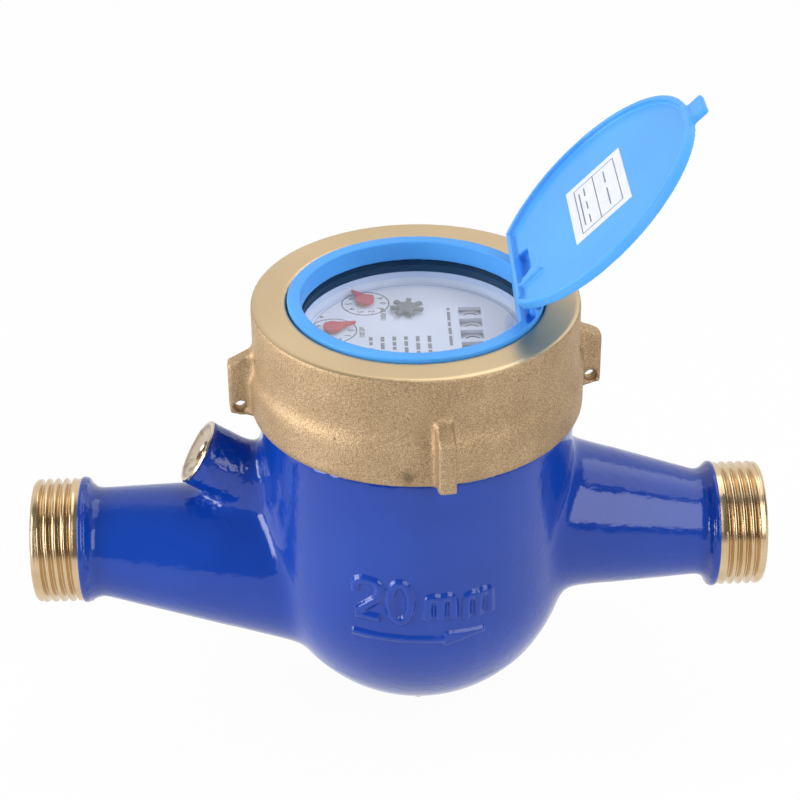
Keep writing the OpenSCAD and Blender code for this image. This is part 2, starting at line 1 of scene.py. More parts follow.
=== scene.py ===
# %% [markdown]
# # A pipe water meter
# The meter is a brass casting under blue enamel, closed by a brass cap ring. A glass, a white dial
# and a hinged plastic lid sit in the ring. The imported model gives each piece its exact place, so
# this lesson loads it as a fixed frame, and then adds finish and fine shape.

# %% Load the fixed frame
import json
import math

import bmesh
import bpy
from mathutils import Matrix, Vector


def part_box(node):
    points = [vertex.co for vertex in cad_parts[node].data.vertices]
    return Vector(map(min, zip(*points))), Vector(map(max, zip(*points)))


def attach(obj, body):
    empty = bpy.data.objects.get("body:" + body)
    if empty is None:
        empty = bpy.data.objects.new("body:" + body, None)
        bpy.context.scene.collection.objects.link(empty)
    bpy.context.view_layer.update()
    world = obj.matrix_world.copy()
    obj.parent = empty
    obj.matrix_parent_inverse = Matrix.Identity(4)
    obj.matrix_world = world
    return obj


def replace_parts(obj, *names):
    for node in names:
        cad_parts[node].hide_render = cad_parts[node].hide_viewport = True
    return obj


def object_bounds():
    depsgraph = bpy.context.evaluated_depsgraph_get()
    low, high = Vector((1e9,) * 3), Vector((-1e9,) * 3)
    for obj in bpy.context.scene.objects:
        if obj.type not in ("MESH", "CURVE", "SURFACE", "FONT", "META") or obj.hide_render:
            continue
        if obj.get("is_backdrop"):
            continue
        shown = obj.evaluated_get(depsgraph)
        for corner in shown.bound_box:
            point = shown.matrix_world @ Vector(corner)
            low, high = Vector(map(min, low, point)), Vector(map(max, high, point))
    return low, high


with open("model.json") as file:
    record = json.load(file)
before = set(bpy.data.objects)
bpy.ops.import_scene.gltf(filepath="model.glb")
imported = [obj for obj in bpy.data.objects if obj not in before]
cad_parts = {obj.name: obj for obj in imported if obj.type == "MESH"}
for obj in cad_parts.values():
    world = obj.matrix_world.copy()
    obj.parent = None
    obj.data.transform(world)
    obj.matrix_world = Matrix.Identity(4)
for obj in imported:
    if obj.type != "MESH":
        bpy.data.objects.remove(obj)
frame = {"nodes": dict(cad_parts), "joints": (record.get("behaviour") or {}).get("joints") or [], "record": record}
cad_low, cad_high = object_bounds()
nodes = frame["nodes"]
mm = 0.001
print("CAD box", [round(v, 4) for v in cad_low], [round(v, 4) for v in cad_high])

# %% [markdown]
# ## Places that later steps share
# The joints and mounts in the record already say where the axes are, and a node's box gives its
# levels. They are read here, once. A few radii that the record doesn't hold are typed in later cells,
# where they are first needed.

# %% Axes, levels and radii
joint_at = {j["name"]: Vector(j["pos_m"]) for j in frame["joints"]}
joint_axis = {j["name"]: Vector(j["axis"]).normalized() for j in frame["joints"]}
mounts = {m["name"]: m for m in frame["record"]["mounts"]}
axis_x = joint_at["impeller_spin"].x
pipe_end = mounts["outlet_thread"]["pos_m"][0]
thread_r = mounts["inlet_thread"]["dims"]["r_mm"] * mm
thread_len = mounts["inlet_thread"]["dims"]["length_mm"] * mm
bore_r = mounts["inlet_bore"]["dims"]["r_mm"] * mm
ring_low, ring_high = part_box("cap_ring")
dial_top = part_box("dial_plate")[1].z
bowl_r = (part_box("body")[1].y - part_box("body")[0].y) / 2
bowl_z = -4.5 * mm  # below this level the bowl is part of a ball
print("meter axis x", axis_x, "bowl radius", round(bowl_r, 5), "dial top", round(dial_top, 5))

# %% [markdown]
# ## Helpers for meshes
# A bmesh holds a shape while operators work on it. `finish_piece` turns it into an object that sits
# at the origin, so that patterns on Object coordinates stay where they are. A CAD node is made of
# loose triangles, so a copy of it is merged before any operator runs on it. Modifiers and curves are
# worked out on a helper object, which is deleted once its mesh has been read.


# %% Mesh helpers
def finish_piece(bm, name, body, material, sharp=35, recalc=True):
    """Turns a bmesh into a finished object that rides on a CAD body."""
    if recalc:
        bmesh.ops.recalc_face_normals(bm, faces=bm.faces)
    mesh = bpy.data.meshes.new(name)
    bm.to_mesh(mesh)
    bm.free()
    mesh.shade_smooth()
    mesh.set_sharp_from_angle(angle=math.radians(sharp))
    piece = bpy.data.objects.new(name, mesh)
    bpy.context.scene.collection.objects.link(piece)
    mesh.materials.append(material)
    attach(piece, body)
    tris = sum(len(p.vertices) - 2 for p in mesh.polygons)
    print(name, tris, "triangles")
    return piece


def merged_copy(node):
    """A bmesh of a CAD node with its loose triangles joined."""
    bm = bmesh.new()
    bm.from_mesh(nodes[node].data)
    bmesh.ops.remove_doubles(bm, verts=bm.verts, dist=1e-6)
    return bm


def join_mesh(bm, mesh):
    """Adds a mesh to a bmesh and clears the mesh away."""
    bm.from_mesh(mesh)
    bpy.data.meshes.remove(mesh)


# %% Helpers for modifiers, curves and smoothing
def evaluated_mesh(work):
    """The mesh of a helper object with its modifiers or its curve worked out."""
    bpy.context.scene.collection.objects.link(work)
    graph = bpy.context.evaluated_depsgraph_get()
    mesh = bpy.data.meshes.new_from_object(work.evaluated_get(graph))
    bpy.data.objects.remove(work)
    return mesh


def remeshed(bm, voxel):
    """The same solid as an even net of quads, with its sharp edges gently rounded."""
    mesh = bpy.data.meshes.new("work")
    bm.to_mesh(mesh)
    bm.free()
    work = bpy.data.objects.new("work", mesh)
    even = work.modifiers.new("even", "REMESH")
    even.mode = "VOXEL"
    even.voxel_size = voxel
    net = bmesh.new()
    join_mesh(net, evaluated_mesh(work))
    bpy.data.meshes.remove(mesh)
    return net


def curve_mesh(curve):
    """Turns a curve or a text into a mesh and clears the curve away."""
    mesh = evaluated_mesh(bpy.data.objects.new("work", curve))
    bpy.data.curves.remove(curve)
    return mesh


def smooth(bm, verts, times):
    """Moves points half way towards their neighbours, several times over."""
    for _ in range(times):
        bmesh.ops.smooth_vert(bm, verts=verts, factor=0.5,
                              use_axis_x=True, use_axis_y=True, use_axis_z=True)


def off_axis(co):
    """How far a point lies from the upright axis of the meter."""
    return math.hypot(co.x - axis_x, co.y)


# %% [markdown]
# ## Effects that several finishes share
# Each effect is a shader node group with named inputs. `Mottle` drifts between two colours, as paint
# and plastic do. `Grain` gives a height for a Bump node from a coarse and a fine noise. `Specks`
# scatters small dark marks. They all read Object coordinates, in metres, so a scale of 100 means
# features about 10 mm wide.


# %% Node helpers
def feed(tree, socket, value):
    """Sets a socket to a number or a colour, or links another node's socket to it."""
    if isinstance(value, (int, float)):
        socket.default_value = value
    elif isinstance(value, tuple):
        socket.default_value = (*value, 1.0)
    else:
        tree.links.new(value, socket)


def object_place(tree):
    """Object coordinates, which are metres in the CAD frame."""
    return tree.nodes.new("ShaderNodeTexCoord").outputs["Object"]


def noise_in(tree, place, scale, detail=2.0, rough=0.5):
    node = tree.nodes.new("ShaderNodeTexNoise")
    node.inputs["Detail"].default_value = detail
    node.inputs["Roughness"].default_value = rough
    tree.links.new(place, node.inputs["Vector"])
    feed(tree, node.inputs["Scale"], scale)
    return node.outputs["Fac"]


def math_in(tree, op, *values):
    node = tree.nodes.new("ShaderNodeMath")
    node.operation = op
    for socket, value in zip(node.inputs, values):
        feed(tree, socket, value)
    return node.outputs[0]


def vector_in(tree, op, place, other=None):
    """A Vector Math node on a linked vector and, where it needs one, a fixed vector."""
    node = tree.nodes.new("ShaderNodeVectorMath")
    node.operation = op
    tree.links.new(place, node.inputs[0])
    if other is not None:
        node.inputs[1].default_value = other
    return node.outputs["Value" if op in ("DISTANCE", "LENGTH") else "Vector"]


def band_in(tree, value, low, high):
    """0 below low, 1 above high, smooth between them."""
    node = tree.nodes.new("ShaderNodeMapRange")
    node.interpolation_type = "SMOOTHSTEP"
    node.inputs["From Min"].default_value = low
    node.inputs["From Max"].default_value = high
    tree.links.new(value, node.inputs["Value"])
    return node.outputs["Result"]


def mix_in(tree, fac, a, b, blend="MIX"):
    node = tree.nodes.new("ShaderNodeMix")
    node.data_type = "RGBA"
    node.blend_type = blend
    for k, value in ((0, fac), (6, a), (7, b)):
        feed(tree, node.inputs[k], value)
    return node.outputs[2]


# %% Mottle, grain and specks
def new_group(name, inputs, outputs):
    """An empty node group with named sockets, and its input and output nodes."""
    group = bpy.data.node_groups.new(name, "ShaderNodeTree")
    for label, kind, value in inputs:
        socket = group.interface.new_socket(label, in_out="INPUT", socket_type=kind)
        socket.default_value = value
    for label, kind in outputs:
        group.interface.new_socket(label, in_out="OUTPUT", socket_type=kind)
    return group, group.nodes.new("NodeGroupInput"), group.nodes.new("NodeGroupOutput")


mottle, gin, gout = new_group(
    "Mottle",
    [("Light", "NodeSocketColor", (1, 1, 1, 1)), ("Dark", "NodeSocketColor", (0, 0, 0, 1)),
     ("Scale", "NodeSocketFloat", 60.0)],
    [("Color", "NodeSocketColor"), ("Fac", "NodeSocketFloat")])
place = object_place(mottle)
drift = band_in(mottle, noise_in(mottle, place, gin.outputs["Scale"], 4.0), 0.3, 0.7)
mottle.links.new(mix_in(mottle, drift, gin.outputs["Dark"], gin.outputs["Light"]), gout.inputs["Color"])
mottle.links.new(drift, gout.inputs["Fac"])

grain, gin, gout = new_group(
    "Grain",
    [("Coarse", "NodeSocketFloat", 150.0), ("Fine", "NodeSocketFloat", 900.0),
     ("Fine share", "NodeSocketFloat", 0.5)],
    [("Height", "NodeSocketFloat")])
place = object_place(grain)
coarse = noise_in(grain, place, gin.outputs["Coarse"], 2.0)
fine = noise_in(grain, place, gin.outputs["Fine"], 3.0)
weighted = math_in(grain, "MULTIPLY", fine, gin.outputs["Fine share"])
grain.links.new(math_in(grain, "ADD", coarse, weighted), gout.inputs["Height"])

specks, gin, gout = new_group(
    "Specks",
    [("Scale", "NodeSocketFloat", 200.0), ("Size", "NodeSocketFloat", 0.12)],
    [("Mask", "NodeSocketFloat")])
place = object_place(specks)
cells = specks.nodes.new("ShaderNodeTexVoronoi")
specks.links.new(place, cells.inputs["Vector"])
specks.links.new(gin.outputs["Scale"], cells.inputs["Scale"])
near = math_in(specks, "LESS_THAN", cells.outputs["Distance"], gin.outputs["Size"])
lone = band_in(specks, noise_in(specks, place, 45.0, 2.0), 0.52, 0.6)
specks.links.new(math_in(specks, "MULTIPLY", near, lone), gout.inputs["Mask"])
print("node groups", [g.name for g in bpy.data.node_groups])

# %% [markdown]
# ## Finishes
# Every finish is a Principled shader in its own material. Colours drift a little over the surface,
# roughness follows a noise, and a Bump node carries the grain: orange peel in the enamel, sand in
# the cast brass, a faint moulded skin on the plastics.


# %% Material helpers
def new_material(name):
    mat = bpy.data.materials.new(name)
    mat.use_nodes = True
    tree = mat.node_tree
    bsdf = tree.nodes["Principled BSDF"]
    return mat, tree, bsdf


def use_group(tree, group, **values):
    node = tree.nodes.new("ShaderNodeGroup")
    node.node_tree = group
    for label, value in values.items():
        feed(tree, node.inputs[label.replace("_", " ")], value)
    return node


def add_bump(tree, bsdf, height, strength, depth):
    bump = tree.nodes.new("ShaderNodeBump")
    bump.inputs["Strength"].default_value = strength
    bump.inputs["Distance"].default_value = depth
    tree.links.new(height, bump.inputs["Height"])
    tree.links.new(bump.outputs["Normal"], bsdf.inputs["Normal"])


def spread(tree, fac, start, end):
    """Maps a 0 to 1 value to a range."""
    node = tree.nodes.new("ShaderNodeMapRange")
    node.inputs["To Min"].default_value = start
    node.inputs["To Max"].default_value = end
    tree.links.new(fac, node.inputs["Value"])
    return node.outputs["Result"]


def mix_to_surface(tree, fac, first, second):
    """Mixes two shaders and sends them to the surface of the material."""
    mixer = tree.nodes.new("ShaderNodeMixShader")
    for socket, value in zip(mixer.inputs, (fac, first, second)):
        tree.links.new(value, socket)
    tree.links.new(mixer.outputs[0], tree.nodes["Material Output"].inputs["Surface"])


def skin(name, light, dark, rough, scale, peel=(150.0, 900.0, 0.5), bump=(0.1, 0.0001),
         metal=0.0, spec=0.4):
    """A surface with drifting colour, uneven gloss and a fine grain.

    rough is a range, scale is that of the drift, peel is coarse, fine and the share of the fine
    noise, and bump is a strength and a depth in metres."""
    mat, tree, bsdf = new_material(name)
    tone = use_group(tree, mottle, Light=light, Dark=dark, Scale=scale)
    tree.links.new(tone.outputs["Color"], bsdf.inputs["Base Color"])
    tree.links.new(spread(tree, tone.outputs["Fac"], *rough), bsdf.inputs["Roughness"])
    bsdf.inputs["Metallic"].default_value = metal
    bsdf.inputs["Specular IOR Level"].default_value = spec
    relief = use_group(tree, grain, Coarse=peel[0], Fine=peel[1], Fine_share=peel[2])
    add_bump(tree, bsdf, relief.outputs["Height"], *bump)
    return mat


# %% Plain finishes of the inner and small pieces
finish = {
    "blue_plastic": skin("Blue moulded plastic", (0.094, 0.402, 0.935), (0.072, 0.360, 0.895), (0.32, 0.42),
                         40.0, (200.0, 1500.0, 0.3), (0.06, 0.0001), spec=0.3),
    "steel": skin("Bright steel pins", (0.60, 0.60, 0.62), (0.48, 0.48, 0.50), (0.22, 0.34), 300.0,
                  metal=1.0),
    "paper": skin("White label paper", (0.80, 0.82, 0.90), (0.74, 0.76, 0.85), (0.5, 0.65), 250.0,
                  (700.0, 3000.0, 0.6), (0.12, 0.00005)),
    "rubber": skin("Black gasket rubber", (0.007, 0.008, 0.010), (0.004, 0.005, 0.006), (0.5, 0.65),
                   200.0, spec=0.12),
    "white_plastic": skin("White dial plastic", (0.66, 0.725, 0.89), (0.61, 0.675, 0.84), (0.38, 0.5), 70.0,
                          (300.0, 2200.0, 0.4), (0.05, 0.00005), spec=0.3),
    "pale_plastic": skin("Pale gear plastic", (0.72, 0.72, 0.70), (0.64, 0.64, 0.61), (0.4, 0.55), 90.0),
    "dark_plastic": skin("Dark plate plastic", (0.035, 0.036, 0.04), (0.022, 0.023, 0.026), (0.4, 0.55),
                         90.0),
    "magnet": skin("Pressed magnet", (0.045, 0.045, 0.05), (0.025, 0.025, 0.03), (0.5, 0.7), 300.0,
                   bump=(0.3, 0.0001)),
    "grey_plastic": skin("Grey star plastic", (0.125, 0.140, 0.175), (0.100, 0.112, 0.145), (0.35, 0.45),
                         200.0),
    "red_plastic": skin("Red pointer plastic", (0.52, 0.024, 0.062), (0.44, 0.018, 0.048), (0.3, 0.4), 250.0),
    "turned_brass": skin("Turned brass", (0.64, 0.46, 0.24), (0.54, 0.38, 0.19), (0.24, 0.36), 250.0,
                         (900.0, 4000.0, 0.6), (0.12, 0.00005), metal=1.0),
    "print": skin("Dark dial ink", (0.035, 0.035, 0.045), (0.06, 0.06, 0.07), (0.5, 0.6), 900.0, spec=0.2),
    "faint_print": skin("Grey dial ink", (0.20, 0.22, 0.27), (0.15, 0.17, 0.22), (0.5, 0.6), 900.0, spec=0.2),
}
print(len(finish), "plain finishes")

# %% [markdown]
# ## Enamel
# The blue coat is thick, glossy and a little wavy, so lamps reflect in it with ragged edges. The bump
# mixes a wave of a few millimetres with a finer orange peel, and adds paint runs round the boss.

# %% Blue enamel
boss_face = joint_at["regulator_turn"]
boss_out = joint_axis["regulator_turn"]
runs_centre = boss_face - boss_out * 6 * mm + Vector((0, -6, -2)) * mm
runs_near, runs_far = 8 * mm, 15 * mm
enamel, tree, bsdf = new_material("Blue gloss enamel")
tone = use_group(tree, mottle, Light=(0.0030, 0.046, 0.352), Dark=(0.0022, 0.038, 0.308), Scale=35.0)
tree.links.new(tone.outputs["Color"], bsdf.inputs["Base Color"])
tree.links.new(spread(tree, tone.outputs["Fac"], 0.09, 0.15), bsdf.inputs["Roughness"])
bsdf.inputs["Specular IOR Level"].default_value = 0.5
relief = use_group(tree, grain, Coarse=150.0, Fine=560.0, Fine_share=0.8)
place = object_place(tree)
from_runs = vector_in(tree, "DISTANCE", place, runs_centre)
near_boss = math_in(tree, "SUBTRACT", 1.0, band_in(tree, from_runs, runs_near, runs_far))
drips = band_in(tree, noise_in(tree, place, 330.0, 1.0), 0.42, 0.68)
runs = math_in(tree, "MULTIPLY", math_in(tree, "MULTIPLY", drips, near_boss), 1.6)
add_bump(tree, bsdf, math_in(tree, "ADD", relief.outputs["Height"], runs), 0.18, 0.0006)
finish["blue_enamel"] = enamel
print("paint runs round", [round(v, 4) for v in runs_centre])

# %% [markdown]
# ## Brass
# The cap ring is cast in sand and only its top is turned smooth. One material covers both: the
# height of a point, read from Object coordinates, fades the sand grain out at the top face. The
# threads are cut brass, brighter and with fine tool lines round the pipe. The boss face was cut too,
# but has grime in patches, and a ring of painted shade round the screw where its dish steps down.

# %% Colour of the sand-cast brass and its turned top
# Centre of a darker patch low on the front of the ring.
low_patch_centre = (axis_x - 3.4 * mm, -43.2 * mm, ring_low.z + 3.2 * mm)
cast, tree, bsdf = new_material("Sand cast brass")
place = object_place(tree)
split = tree.nodes.new("ShaderNodeSeparateXYZ")
tree.links.new(place, split.inputs[0])
turned = band_in(tree, split.outputs["Z"], ring_high.z - 0.5 * mm, ring_high.z - 0.12 * mm)
body_tone = use_group(tree, mottle, Light=(0.535, 0.395, 0.250), Dark=(0.465, 0.335, 0.205), Scale=90.0)
sand_noise = band_in(tree, noise_in(tree, place, 3000.0, 3.0), 0.3, 0.7)
sand_tone = mix_in(tree, sand_noise, (0.68, 0.66, 0.62), (1.27, 1.26, 1.23))
sandy = mix_in(tree, 1.0, body_tone.outputs["Color"], sand_tone, "MULTIPLY")
pits = use_group(tree, specks, Scale=170.0, Size=0.11)
pit_share = math_in(tree, "MULTIPLY", pits.outputs["Mask"], 0.55)
pitted = mix_in(tree, pit_share, sandy, (0.10, 0.065, 0.03))
# A darker brown patch with a wobbly edge, low on the front of the ring near its foot.
wobble = math_in(tree, "MULTIPLY", noise_in(tree, place, 420.0, 3.0), 7.0 * mm)
from_low_patch = math_in(tree, "ADD", vector_in(tree, "DISTANCE", place, low_patch_centre), wobble)
low_patch = math_in(tree, "SUBTRACT", 1.0, band_in(tree, from_low_patch, 3.4 * mm, 7.0 * mm))
low_patch_tone = mix_in(tree, math_in(tree, "MULTIPLY", low_patch, 0.6), pitted, (0.12, 0.085, 0.045))
top_tone = use_group(tree, mottle, Light=(0.66, 0.500, 0.300), Dark=(0.585, 0.440, 0.258), Scale=25.0)
tree.links.new(mix_in(tree, turned, low_patch_tone, top_tone.outputs["Color"]), bsdf.inputs["Base Color"])

# %% Gloss and sand relief of the cast brass
side_rough, top_rough = 0.60, 0.34
top_sand_share = 0.04
bsdf.inputs["Metallic"].default_value = 1.0
tree.links.new(spread(tree, turned, side_rough, top_rough), bsdf.inputs["Roughness"])
relief = use_group(tree, grain, Coarse=1300.0, Fine=3800.0, Fine_share=1.0)
sand = math_in(tree, "MULTIPLY", relief.outputs["Height"], spread(tree, turned, 1.0, top_sand_share))
add_bump(tree, bsdf, sand, 0.5, 0.0002)
finish["cast_brass"] = cast
print("cast brass is turned above", round(ring_high.z - 0.5 * mm, 5))

# %% Cut brass of the threads
cut, tree, bsdf = new_material("Cut thread brass")
tone = use_group(tree, mottle, Light=(0.70, 0.53, 0.330), Dark=(0.60, 0.44, 0.255), Scale=160.0)
tree.links.new(tone.outputs["Color"], bsdf.inputs["Base Color"])
bsdf.inputs["Metallic"].default_value = 1.0
tree.links.new(spread(tree, tone.outputs["Fac"], 0.17, 0.27), bsdf.inputs["Roughness"])
place = object_place(tree)
stretch = tree.nodes.new("ShaderNodeMapping")
stretch.inputs["Scale"].default_value = (9000.0, 60.0, 60.0)  # thin lines that run round the pipe
tree.links.new(place, stretch.inputs["Vector"])
add_bump(tree, bsdf, noise_in(tree, stretch.outputs["Vector"], 1.0, 2.0), 0.10, 0.00005)
finish["cut_brass"] = cut

# %% Smudged brass of the boss face, with a ring of painted shade
smudged_and_shaded, tree, bsdf = new_material("Smudged boss brass with painted shade")
place = object_place(tree)
tone = use_group(tree, mottle, Light=(0.66, 0.55, 0.43), Dark=(0.56, 0.45, 0.33), Scale=220.0)
patches = band_in(tree, noise_in(tree, place, 240.0, 3.0, 0.6), 0.50, 0.66)
from_face = vector_in(tree, "SUBTRACT", place, boss_face)
from_line = vector_in(tree, "LENGTH", vector_in(tree, "CROSS_PRODUCT", from_face, boss_out))
# Painted shade: a dark ring about 7 mm from the screw's axis, where the dish steps down. It uses the same dark
# colour as the grime patches.
groove_shade = math_in(tree, "SUBTRACT", band_in(tree, from_line, 6.0 * mm, 7.4 * mm),
                 band_in(tree, from_line, 7.6 * mm, 7.9 * mm))
dirt_and_shade = math_in(tree, "MAXIMUM", patches, math_in(tree, "MULTIPLY", groove_shade, 0.75))
dirt_and_shade_tone = mix_in(tree, math_in(tree, "MULTIPLY", dirt_and_shade, 0.75), tone.outputs["Color"], (0.16, 0.12, 0.08))
tree.links.new(dirt_and_shade_tone, bsdf.inputs["Base Color"])
bsdf.inputs["Metallic"].default_value = 1.0
tree.links.new(spread(tree, dirt_and_shade, 0.20, 0.42), bsdf.inputs["Roughness"])
add_bump(tree, bsdf, noise_in(tree, place, 900.0, 2.0), 0.25, 0.0001)
print("brass finishes:", cast.name, cut.name, smudged_and_shaded.name)

# %% [markdown]
# ## Glass
# The window over the dial is 4 mm of clear glass. A Principled shader with full transmission bends
# light as glass does. For shadow rays a Transparent shader takes over, so that the lamps light the
# dial through it and the dial isn't left dark. A faint smear changes the roughness.

# %% Clear glass
clear, tree, bsdf = new_material("Clear window glass")
bsdf.inputs["Base Color"].default_value = (0.985, 0.995, 1.0, 1.0)
bsdf.inputs["Transmission Weight"].default_value = 1.0
bsdf.inputs["IOR"].default_value = 1.5
smear = use_group(tree, mottle, Light=(1.0, 1.0, 1.0), Dark=(0.0, 0.0, 0.0), Scale=55.0)
tree.links.new(spread(tree, smear.outputs["Fac"], 0.0, 0.025), bsdf.inputs["Roughness"])
through = tree.nodes.new("ShaderNodeBsdfTransparent")
rays = tree.nodes.new("ShaderNodeLightPath")
mix_to_surface(tree, rays.outputs["Is Shadow Ray"], bsdf.outputs[0], through.outputs[0])
finish["glass"] = clear
print("finishes in all", len(finish))

# %% [markdown]
# ## Every CAD node gets its finish
# The record names a material slot for each node. A CAD object keeps its mesh and only its material
# slots change. Pieces that are rebuilt below hide their node later.

# %% Dress the CAD nodes
for part in frame["record"]["subparts"]:
    mesh = nodes[part["node"]].data
    mesh.materials.clear()
    mesh.materials.append(finish[part["material_slot"]])
print(len(nodes), "nodes dressed")

# %% [markdown]
# ## The body casting
# In the CAD model the necks and the boss meet the bowl in sharp lines, where a foundry pattern has
# round fillets. A bevel can't follow lines as tangled as these. So the copy is cut off at the two
# threads, turned into an even net of quads by a voxel remesh, and smoothed: a little everywhere, and
# more where one form runs into another. Smoothing only those places keeps the boss crisp.


# %% Cut the threads off a copy of the body
def trim(bm, x, side):
    """Cuts off all that lies beyond the plane at x, on the side that the sign gives."""
    geom = list(bm.verts) + list(bm.edges) + list(bm.faces)
    bmesh.ops.bisect_plane(bm, geom=geom, dist=1e-7, plane_co=(x, 0, 0), plane_no=(side, 0, 0),
                           clear_outer=True)


def open_rim(bm, x):
    """The open edges in the plane at x."""
    return [e for e in bm.edges if e.is_boundary and all(abs(v.co.x - x) < 1e-6 for v in e.verts)]


casting = merged_copy("body")
for x, side in ((thread_len, -1.0), (pipe_end - thread_len, 1.0)):
    trim(casting, x, side)
    bmesh.ops.triangle_fill(casting, edges=open_rim(casting, x), use_beauty=True)
bmesh.ops.recalc_face_normals(casting, faces=casting.faces)
print("open edges left", sum(e.is_boundary for e in casting.edges))


# %% Even net and soft fillets
def meets_bowl(co):
    """True near the lines where the necks and the boss run into the bowl."""
    return (35 * mm < off_axis(co) < 53 * mm and -36 * mm < co.z < 34 * mm
            and abs(co.x - axis_x) > 14 * mm)


def meets_boss(co):
    """True round the foot of the boss, but not at its cut face."""
    depth = (boss_face - co).dot(boss_out)
    off = (co - boss_face) + boss_out * depth
    return 6 * mm < depth < 24 * mm and off.length < 15 * mm


def behind_collar(co):
    """True on the neck behind either collar."""
    return 14.6 * mm < min(co.x, pipe_end - co.x) < 24 * mm


body_voxel = 1.04 * mm
casting = remeshed(casting, body_voxel)
zones = (("whole body", lambda co: True, 3), ("bowl fillets", meets_bowl, 26),
         ("boss foot", meets_boss, 10), ("necks behind the collars", behind_collar, 5))
for label, inside, rounds in zones:
    points = [v for v in casting.verts if inside(v.co)]
    smooth(casting, points, rounds)
    print(label, len(points), "points smoothed")


# %% Enamel outside, bare brass in the water way
bowl_zone = 42 * mm  # nearer to the meter axis than this is bowl, further out is neck
bowl_wall, neck_wall = 1.2 * mm, 0.8 * mm
neck_start, neck_span = 30 * mm, 58 * mm
neck_r, neck_taper, neck_fall = 22.5 * mm, 8.9 * mm, 8.0 * mm


def in_water_way(co, normal):
    """True for faces that lie under the outer skin and look towards the axis of their passage."""
    along = abs(co.x - axis_x)
    if along < bowl_zone:
        spoke = Vector((co.x - axis_x, co.y, min(0.0, co.z - bowl_z)))
        return spoke.length < bowl_r - bowl_wall and normal.dot(spoke) < 0.3 * spoke.length
    share = min(1.0, (along - neck_start) / neck_span)
    fall = neck_fall * (1.0 - share) * (-1.0 if co.x < axis_x else 0.8)
    spoke = Vector((0.0, co.y, co.z - fall))
    return spoke.length < neck_r - neck_taper * share - neck_wall and normal.dot(spoke) < 0.0


inner = 0
casting.normal_update()
for face in casting.faces:
    if in_water_way(face.calc_center_median(), face.normal):
        face.material_index = 1
        inner += 1
body_piece = finish_piece(casting, "body_enamel", "housing", enamel, sharp=60, recalc=False)
body_piece.data.materials.append(finish["turned_brass"])
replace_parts(body_piece, "body")
print(inner, "inner faces in bare brass")

# %% [markdown]
# ## Pipe threads
# Each pipe end has four deep grooves between a plain land at the mouth and one at the collar. A
# zigzag of teeth is spun once round the pipe while it moves on by one pitch, so each tooth runs into
# the next and the helix is true. Planes trim the ends, the rim is filled down to the bore, and the
# grooves fade out on the lands, as they do where a cutter is lifted.

# %% One brass thread
pitch = 2.309 * mm
root_r = thread_r - 1.45 * mm
land_r = thread_r - 0.15 * mm
lead_in = (1.0 * mm, 2.0 * mm)  # from the mouth, no groove before the first, full depth past the second
run_out = (thread_len - 1.7 * mm, thread_len - 0.8 * mm)
mouth_chamfer = 0.7 * mm
spun_turns, spin_steps = 9, 120
tooth = ((0.0, 0.0), (0.10, 0.05), (0.34, 0.86), (0.44, 1.0), (0.62, 1.0), (0.72, 0.86), (0.93, 0.05))


def ramp(value, low, high):
    """0 below low, 1 above high, smooth between them."""
    t = min(1.0, max(0.0, (value - low) / (high - low)))
    return t * t * (3.0 - 2.0 * t)


def thread_piece(name, x_start, x_end, mouth, phase):
    """A threaded pipe end between two planes, one of which is its open mouth."""
    bm = bmesh.new()
    line = []
    for turn in range(spun_turns):
        for along, rise in tooth:
            x = x_start - 2 * pitch + phase + (turn + along) * pitch
            line.append(bm.verts.new((x, 0.0, root_r + rise * (thread_r - root_r))))
    edges = [bm.edges.new(pair) for pair in zip(line, line[1:])]
    bmesh.ops.spin(bm, geom=line + edges, cent=(0, 0, 0), axis=(1, 0, 0), angle=2 * math.pi,
                   steps=spin_steps, dvec=(pitch / spin_steps, 0, 0))
    bmesh.ops.remove_doubles(bm, verts=bm.verts, dist=2e-6)
    trim(bm, x_start, -1.0)
    trim(bm, x_end, 1.0)
    for v in bm.verts:
        depth = abs(v.co.x - mouth)
        cut_in = ramp(depth, *lead_in) * (1.0 - ramp(depth, *run_out))
        reach = math.hypot(v.co.y, v.co.z)
        wanted = land_r + (reach - land_r) * cut_in - max(0.0, mouth_chamfer - depth)
        v.co.y *= wanted / reach
        v.co.z *= wanted / reach
    bores = []
    for x in (x_start, x_end):
        rim = open_rim(bm, x)
        facing = Matrix.Translation((x, 0, 0)) @ Matrix.Rotation(math.pi / 2, 4, "Y")
        hole = bmesh.ops.create_circle(bm, cap_ends=False, radius=bore_r, segments=96, matrix=facing)
        bore = list({e for v in hole["verts"] for e in v.link_edges})
        bmesh.ops.triangle_fill(bm, edges=rim + bore, use_beauty=True)
        bores += bore
    bmesh.ops.bridge_loops(bm, edges=bores)
    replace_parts(finish_piece(bm, name, "housing", cut, sharp=50), "body")


under_collar = 0.4 * mm
thread_piece("inlet_thread_cut", 0.0, thread_len + under_collar, mouth=0.0, phase=0.24 * mm)
thread_piece("outlet_thread_cut", pipe_end - thread_len - under_collar, pipe_end,
             mouth=pipe_end, phase=0.25 * mm)

# %% [markdown]
# ## Collars and the cut face of the boss
# Behind each thread stands a thin painted collar. The voxel net is too coarse for its edge, so a
# section spun about the pipe axis gives it back. After painting, the end of the side boss was faced
# off, so a bright brass dish shows round the screw hole: another spun section, 0.1 mm proud.


# %% Painted collar edges
def spin_section(bm, section, centre, axis, steps):
    """Spins a closed section, given as (radius, along) pairs, about an axis."""
    side = axis.orthogonal().normalized()
    loop = [bm.verts.new(centre + side * r + axis * a) for r, a in section]
    edges = [bm.edges.new(pair) for pair in zip(loop, loop[1:] + loop[:1])]
    bmesh.ops.spin(bm, geom=loop + edges, cent=centre, axis=axis, angle=2 * math.pi, steps=steps,
                   use_merge=True)
    bmesh.ops.remove_doubles(bm, verts=bm.verts, dist=1e-7)


